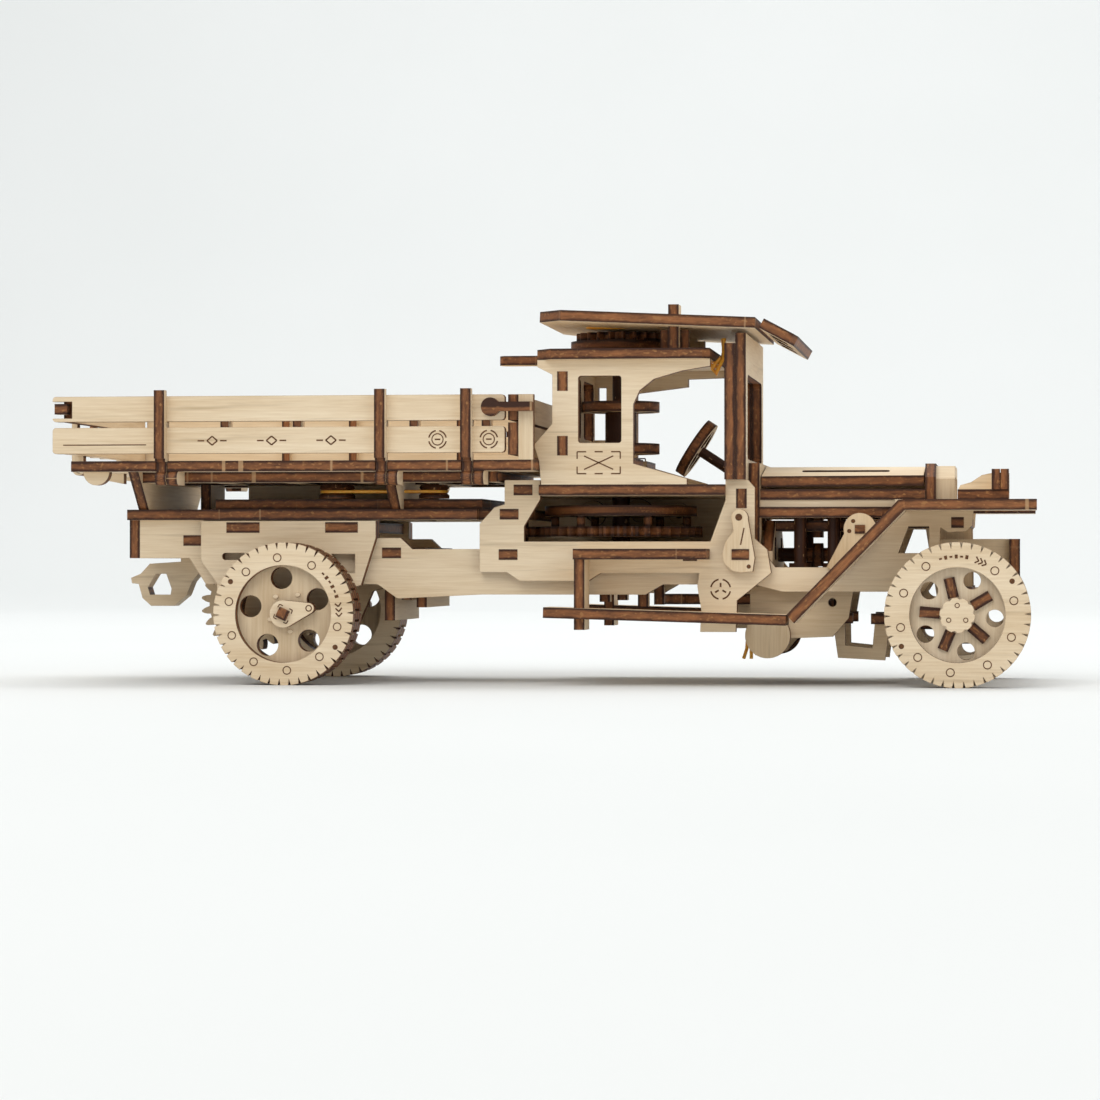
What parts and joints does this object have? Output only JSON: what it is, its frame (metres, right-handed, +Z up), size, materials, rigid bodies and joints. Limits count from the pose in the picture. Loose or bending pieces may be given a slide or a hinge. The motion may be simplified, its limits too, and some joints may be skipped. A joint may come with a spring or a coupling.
{
  "type": "wooden mechanical lorry model",
  "caption": "Flatbed lorry kit of laser-cut plywood plates with a wound motor drum, gears, steered front wheels, drop sides, tailgate and lifting bonnet.",
  "frame": {"origin": "middle of the lorry's bounding box on the ground", "axes": "+X forward, +Y to the lorry's left, +Z up"},
  "size_m": [0.2786, 0.094, 0.1078],
  "materials": {
    "chassis_rail_right": "bare birch plywood with laser-burnt edges",
    "chassis_rail_left": "bare birch plywood with laser-burnt edges",
    "frame_plate_right": "bare birch plywood with laser-burnt edges",
    "frame_plate_left": "bare birch plywood with laser-burnt edges",
    "axle_brackets": "bare birch plywood with laser-burnt edges",
    "chassis_deck": "bare birch plywood with laser-burnt edges",
    "cross_members": "bare birch plywood with laser-burnt edges",
    "tow_hitch": "bare birch plywood with laser-burnt edges",
    "bed_subframe": "bare birch plywood with laser-burnt edges",
    "bed_floor": "bare birch plywood with laser-burnt edges",
    "headboard": "bare birch plywood with laser-burnt edges",
    "front_axle_beam": "bare birch plywood with laser-burnt edges",
    "cab_side_right": "bare birch plywood with laser-burnt edges",
    "cab_side_left": "bare birch plywood with laser-burnt edges",
    "cab_back": "bare birch plywood with laser-burnt edges",
    "cab_floor": "bare birch plywood with laser-burnt edges",
    "windshield_frame": "bare birch plywood with laser-burnt edges",
    "lower_roof": "bare birch plywood with laser-burnt edges",
    "roof": "bare birch plywood with laser-burnt edges",
    "firewall": "bare birch plywood with laser-burnt edges",
    "bonnet_frame": "bare birch plywood with laser-burnt edges",
    "radiator": "bare birch plywood with laser-burnt edges",
    "engine_block": "bare birch plywood with laser-burnt edges",
    "fenders": "bare birch plywood with laser-burnt edges",
    "running_boards": "bare birch plywood with laser-burnt edges",
    "gearbox": "bare birch plywood with laser-burnt edges",
    "side_boards_right": "bare birch plywood with laser-burnt edges",
    "side_posts_right": "bare birch plywood with laser-burnt edges",
    "side_boards_left": "bare birch plywood with laser-burnt edges",
    "side_posts_left": "bare birch plywood with laser-burnt edges",
    "latch_right": "bare birch plywood with laser-burnt edges",
    "latch_left": "bare birch plywood with laser-burnt edges",
    "tailgate": "bare birch plywood with laser-burnt edges",
    "idler_pulley_rear": "bare birch plywood with laser-burnt edges",
    "idler_pulley_front": "bare birch plywood with laser-burnt edges",
    "rear_axle": "bare birch plywood with laser-burnt edges",
    "rear_tyre_right": "bare birch plywood with laser-burnt edges",
    "rear_tyre_left": "bare birch plywood with laser-burnt edges",
    "rear_discs": "bare birch plywood with laser-burnt edges",
    "hub_locks": "bare birch plywood with laser-burnt edges",
    "lay_gear": "bare birch plywood with laser-burnt edges",
    "knuckle_right": "bare birch plywood with laser-burnt edges",
    "knuckle_left": "bare birch plywood with laser-burnt edges",
    "front_tyre_right": "bare birch plywood with laser-burnt edges",
    "front_disc_right": "bare birch plywood with laser-burnt edges",
    "front_tyre_left": "bare birch plywood with laser-burnt edges",
    "front_disc_left": "bare birch plywood with laser-burnt edges",
    "tie_rod": "bare birch plywood with laser-burnt edges",
    "motor_shaft": "bare birch plywood with laser-burnt edges",
    "winding_gear": "bare birch plywood with laser-burnt edges",
    "drive_gear": "bare birch plywood with laser-burnt edges",
    "transfer_gear": "bare birch plywood with laser-burnt edges",
    "winding_lever": "bare birch plywood with laser-burnt edges",
    "steering_wheel": "bare birch plywood with laser-burnt edges",
    "bonnet_right": "bare birch plywood with laser-burnt edges",
    "bonnet_left": "bare birch plywood with laser-burnt edges",
    "crankshaft": "bare birch plywood with laser-burnt edges",
    "pistons_outer": "bare birch plywood with laser-burnt edges",
    "pistons_inner": "bare birch plywood with laser-burnt edges",
    "shift_lever": "bare birch plywood with laser-burnt edges"
  },
  "bodies": {
    "chassis": {"chassis_rail_right": "chassis_rail_right", "chassis_rail_left": "chassis_rail_left", "frame_plate_right": "frame_plate_right", "frame_plate_left": "frame_plate_left", "axle_brackets": "axle_brackets", "chassis_deck": "chassis_deck", "cross_members": "cross_members", "tow_hitch": "tow_hitch", "bed_subframe": "bed_subframe", "bed_floor": "bed_floor", "headboard": "headboard", "front_axle_beam": "front_axle_beam", "cab_side_right": "cab_side_right", "cab_side_left": "cab_side_left", "cab_back": "cab_back", "cab_floor": "cab_floor", "windshield_frame": "windshield_frame", "lower_roof": "lower_roof", "roof": "roof", "firewall": "firewall", "bonnet_frame": "bonnet_frame", "radiator": "radiator", "engine_block": "engine_block", "fenders": "fenders", "running_boards": "running_boards", "gearbox": "gearbox"},
    "drop_side_right": {"side_boards_right": "side_boards_right", "side_posts_right": "side_posts_right"},
    "drop_side_left": {"side_boards_left": "side_boards_left", "side_posts_left": "side_posts_left"},
    "latch_right": {"latch_right": "latch_right"},
    "latch_left": {"latch_left": "latch_left"},
    "tailgate": {"tailgate": "tailgate"},
    "pulley_rear": {"idler_pulley_rear": "idler_pulley_rear"},
    "pulley_front": {"idler_pulley_front": "idler_pulley_front"},
    "rear_wheels": {"rear_axle": "rear_axle", "rear_tyre_right": "rear_tyre_right", "rear_tyre_left": "rear_tyre_left", "rear_discs": "rear_discs", "hub_locks": "hub_locks"},
    "lay_gear": {"lay_gear": "lay_gear"},
    "knuckle_right": {"knuckle_right": "knuckle_right"},
    "knuckle_left": {"knuckle_left": "knuckle_left"},
    "front_wheel_right": {"front_tyre_right": "front_tyre_right", "front_disc_right": "front_disc_right"},
    "front_wheel_left": {"front_tyre_left": "front_tyre_left", "front_disc_left": "front_disc_left"},
    "tie_rod": {"tie_rod": "tie_rod"},
    "motor": {"motor_shaft": "motor_shaft", "winding_gear": "winding_gear", "drive_gear": "drive_gear"},
    "transfer_gear": {"transfer_gear": "transfer_gear"},
    "winding_lever": {"winding_lever": "winding_lever"},
    "steering_wheel": {"steering_wheel": "steering_wheel"},
    "bonnet_right": {"bonnet_right": "bonnet_right"},
    "bonnet_left": {"bonnet_left": "bonnet_left"},
    "crankshaft": {"crankshaft": "crankshaft"},
    "pistons_outer": {"pistons_outer": "pistons_outer"},
    "pistons_inner": {"pistons_inner": "pistons_inner"},
    "shift_lever": {"shift_lever": "shift_lever"}
  },
  "joints": [
    {"name": "drop_side_right_fold", "type": "hinge", "parent": "chassis", "child": "drop_side_right", "pos_m": [-0.066, -0.0436, 0.0586], "axis": [1, 0, 0], "range_deg": [0, 100]},
    {"name": "drop_side_left_fold", "type": "hinge", "parent": "chassis", "child": "drop_side_left", "pos_m": [-0.066, 0.0436, 0.0586], "axis": [-1, 0, 0], "range_deg": [0, 100]},
    {"name": "latch_right_lift", "type": "hinge", "parent": "drop_side_right", "child": "latch_right", "pos_m": [-0.0126, -0.0455, 0.0784], "axis": [0, -1, 0], "range_deg": [0, 90]},
    {"name": "latch_left_lift", "type": "hinge", "parent": "drop_side_left", "child": "latch_left", "pos_m": [-0.0126, 0.0455, 0.0784], "axis": [0, -1, 0], "range_deg": [0, 90]},
    {"name": "tailgate_fold", "type": "hinge", "parent": "chassis", "child": "tailgate", "pos_m": [-0.1366, 0, 0.0619], "axis": [0, -1, 0], "range_deg": [0, 160]},
    {"name": "idler_rear_spin", "type": "hinge", "parent": "chassis", "child": "pulley_rear", "pos_m": [-0.0617, -0.019, 0.055], "axis": [0, 0, 1], "continuous": true},
    {"name": "idler_front_spin", "type": "hinge", "parent": "chassis", "child": "pulley_front", "pos_m": [-0.0332, -0.019, 0.055], "axis": [0, 0, 1], "continuous": true},
    {"name": "rear_axle_spin", "type": "hinge", "parent": "chassis", "child": "rear_wheels", "pos_m": [-0.0723, 0, 0.0202], "axis": [0, 1, 0], "continuous": true},
    {"name": "lay_gear_spin", "type": "hinge", "parent": "chassis", "child": "lay_gear", "pos_m": [-0.091, 0, 0.0226], "axis": [0, 1, 0], "continuous": true},
    {"name": "steer_right", "type": "hinge", "parent": "chassis", "child": "knuckle_right", "pos_m": [0.1175, -0.027, 0.0202], "axis": [0, 0, 1], "range_deg": [-20, 20]},
    {"name": "steer_left", "type": "hinge", "parent": "chassis", "child": "knuckle_left", "pos_m": [0.1175, 0.027, 0.0202], "axis": [0, 0, 1], "range_deg": [-20, 20]},
    {"name": "tie_rod_shift", "type": "slide", "parent": "chassis", "child": "tie_rod", "axis": [0, 1, 0], "range_m": [-0.0029, 0.0029]},
    {"name": "steering_wheel_turn", "type": "hinge", "parent": "chassis", "child": "steering_wheel", "pos_m": [0.0399, 0.013, 0.0684], "axis": [0.8368, 0, -0.5476], "range_deg": [-75, 75]},
    {"name": "front_wheel_right_spin", "type": "hinge", "parent": "knuckle_right", "child": "front_wheel_right", "pos_m": [0.1175, -0.039, 0.0202], "axis": [0, 1, 0], "continuous": true},
    {"name": "front_wheel_left_spin", "type": "hinge", "parent": "knuckle_left", "child": "front_wheel_left", "pos_m": [0.1175, 0.039, 0.0202], "axis": [0, 1, 0], "continuous": true},
    {"name": "motor_spin", "type": "hinge", "parent": "chassis", "child": "motor", "pos_m": [0.0189, 0, 0.06], "axis": [0, 0, 1], "continuous": true},
    {"name": "transfer_gear_spin", "type": "hinge", "parent": "chassis", "child": "transfer_gear", "pos_m": [-0.0099, 0, 0.0437], "axis": [0, 0, 1], "continuous": true},
    {"name": "winding_lever_swing", "type": "hinge", "parent": "chassis", "child": "winding_lever", "pos_m": [0.0189, 0, 0.094], "axis": [0, 0, 1], "range_deg": [-24, 24]},
    {"name": "bonnet_right_lift", "type": "hinge", "parent": "chassis", "child": "bonnet_right", "pos_m": [0.0846, -0.0016, 0.0609], "axis": [-1, 0, 0], "range_deg": [0, 80]},
    {"name": "bonnet_left_lift", "type": "hinge", "parent": "chassis", "child": "bonnet_left", "pos_m": [0.0846, 0.0016, 0.0609], "axis": [1, 0, 0], "range_deg": [0, 80]},
    {"name": "crankshaft_spin", "type": "hinge", "parent": "chassis", "child": "crankshaft", "pos_m": [0.08, 0, 0.037], "axis": [1, 0, 0], "continuous": true},
    {"name": "pistons_outer_stroke", "type": "slide", "parent": "chassis", "child": "pistons_outer", "axis": [0, 0, 1], "range_m": [0, 0.0018]},
    {"name": "pistons_inner_stroke", "type": "slide", "parent": "chassis", "child": "pistons_inner", "axis": [0, 0, 1], "range_m": [0, 0.0018]},
    {"name": "shift_lever_swing", "type": "hinge", "parent": "chassis", "child": "shift_lever", "pos_m": [0.0561, -0.0317, 0.0475], "axis": [0, 1, 0], "range_deg": [-12, 12]}
  ],
  "couplings": [
    {"joint": "lay_gear_spin", "follows": "rear_axle_spin", "ratio": -0.45454},
    {"joint": "steer_left", "follows": "steer_right", "ratio": 1},
    {"joint": "tie_rod_shift", "follows": "steer_right", "m_per_rad": -0.00788},
    {"joint": "steering_wheel_turn", "follows": "steer_right", "ratio": -3.6},
    {"joint": "transfer_gear_spin", "follows": "motor_spin", "ratio": -3.8}
  ]
}
